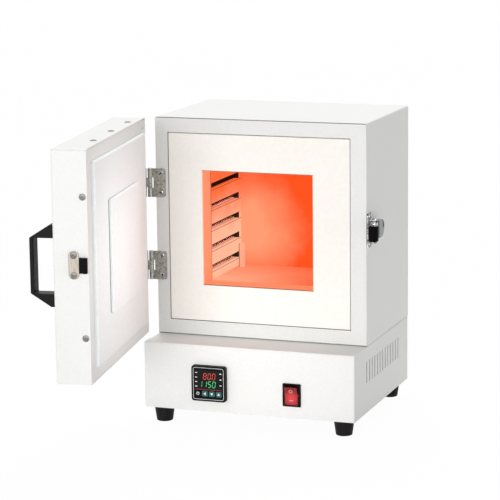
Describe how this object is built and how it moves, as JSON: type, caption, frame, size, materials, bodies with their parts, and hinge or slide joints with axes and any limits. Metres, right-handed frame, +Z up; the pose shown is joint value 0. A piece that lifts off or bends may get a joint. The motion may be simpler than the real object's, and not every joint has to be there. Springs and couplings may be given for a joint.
{
  "type": "electric pottery kiln",
  "caption": "Front-loading electric kiln: white steel casing, ceramic-lined square chamber, hinged door with roller catch, and a base with temperature controller and rocker switch.",
  "frame": {"origin": "on the floor, under the middle of the outline with the door open as at rest", "axes": "+X to the kiln's right seen from the front, +Y towards its back, +Z up"},
  "size_m": [0.3724, 0.5136, 0.408],
  "materials": {
    "white_paint": "satin",
    "ceramic_board": "matte",
    "hot_board": "matte",
    "fibre_blanket": "matte",
    "heating_alloy": "matte",
    "white_ceramic": "satin",
    "black_plastic": "satin",
    "teal_key": "satin",
    "tinted_window": "gloss",
    "red_lens": "gloss",
    "black_rubber": "matte",
    "zinc_steel": "satin",
    "chrome_plate": "polished",
    "aluminium": "satin"
  },
  "bodies": {
    "kiln": {"base_case": "white_paint", "base_plate": "white_paint", "body_shell": "white_paint", "front_frame": "white_paint", "back_panel": "white_paint", "floor_panel": "white_paint", "front_board": "ceramic_board", "hearth_board": "hot_board", "roof_board": "hot_board", "back_board": "hot_board", "wall_board_left": "hot_board", "wall_board_right": "hot_board", "insulation_wrap": "fibre_blanket", "insulation_back": "fibre_blanket", "heating_coil_left": "heating_alloy", "heating_coil_right": "heating_alloy", "coil_link": "heating_alloy", "coil_tail_left": "heating_alloy", "coil_tail_right": "heating_alloy", "terminal_block_left": "white_ceramic", "terminal_block_right": "white_ceramic", "thermocouple_sheath": "white_ceramic", "thermocouple_head": "white_ceramic", "controller_case": "black_plastic", "controller_clamp": "black_plastic", "switch_housing": "black_plastic", "solid_state_relay": "black_plastic", "power_inlet": "black_plastic", "controller_window": "tinted_window", "foot_front_left": "black_rubber", "foot_front_right": "black_rubber", "foot_rear_left": "black_rubber", "foot_rear_right": "black_rubber", "hinge_leaf_body_upper": "zinc_steel", "hinge_leaf_body_lower": "zinc_steel", "hinge_pin_upper": "zinc_steel", "hinge_pin_lower": "zinc_steel", "latch_spring": "zinc_steel", "latch_plate": "chrome_plate", "latch_pivot_pin": "chrome_plate", "heat_sink": "aluminium"},
    "door": {"door_pan": "white_paint", "door_frame": "white_paint", "door_board": "ceramic_board", "door_plug": "ceramic_board", "door_insulation": "fibre_blanket", "door_handle": "black_plastic", "hinge_leaf_door_upper": "zinc_steel", "hinge_leaf_door_lower": "zinc_steel", "strike_plate": "zinc_steel", "strike_block": "black_plastic"},
    "latch_arm": {"latch_yoke": "chrome_plate", "roller_pin": "chrome_plate"},
    "latch_wheel": {"latch_roller": "black_rubber"},
    "rocker": {"switch_rocker": "red_lens"},
    "button_set": {"key_set": "black_plastic"},
    "button_shift": {"key_shift": "teal_key"},
    "button_down": {"key_down": "teal_key"},
    "button_up": {"key_up": "teal_key"}
  },
  "joints": [
    {"name": "door_hinge", "type": "hinge", "parent": "kiln", "child": "door", "pos_m": [-0.13778, 0.05243, 0.2612], "axis": [0, 0, -1], "range_deg": [-81.2, 88.8]},
    {"name": "latch_pivot", "type": "hinge", "parent": "kiln", "child": "latch_arm", "pos_m": [0.17322, 0.06648, 0.2668], "axis": [0, 0, 1], "range_deg": [0, 12], "stiffness_Nm_per_rad": 0.5},
    {"name": "roller_spin", "type": "hinge", "parent": "latch_arm", "child": "latch_wheel", "pos_m": [0.17972, 0.03898, 0.2668], "axis": [0, 0, 1], "continuous": true},
    {"name": "rocker_tilt", "type": "hinge", "parent": "kiln", "child": "rocker", "pos_m": [0.08002, -0.00272, 0.0534], "axis": [1, 0, 0], "range_deg": [-22, 0]},
    {"name": "key_set_press", "type": "slide", "parent": "kiln", "child": "button_set", "axis": [0, 1, 0], "range_m": [0, 0.0006], "stiffness_N_per_m": 400},
    {"name": "key_shift_press", "type": "slide", "parent": "kiln", "child": "button_shift", "axis": [0, 1, 0], "range_m": [0, 0.0006], "stiffness_N_per_m": 400},
    {"name": "key_down_press", "type": "slide", "parent": "kiln", "child": "button_down", "axis": [0, 1, 0], "range_m": [0, 0.0006], "stiffness_N_per_m": 400},
    {"name": "key_up_press", "type": "slide", "parent": "kiln", "child": "button_up", "axis": [0, 1, 0], "range_m": [0, 0.0006], "stiffness_N_per_m": 400}
  ]
}
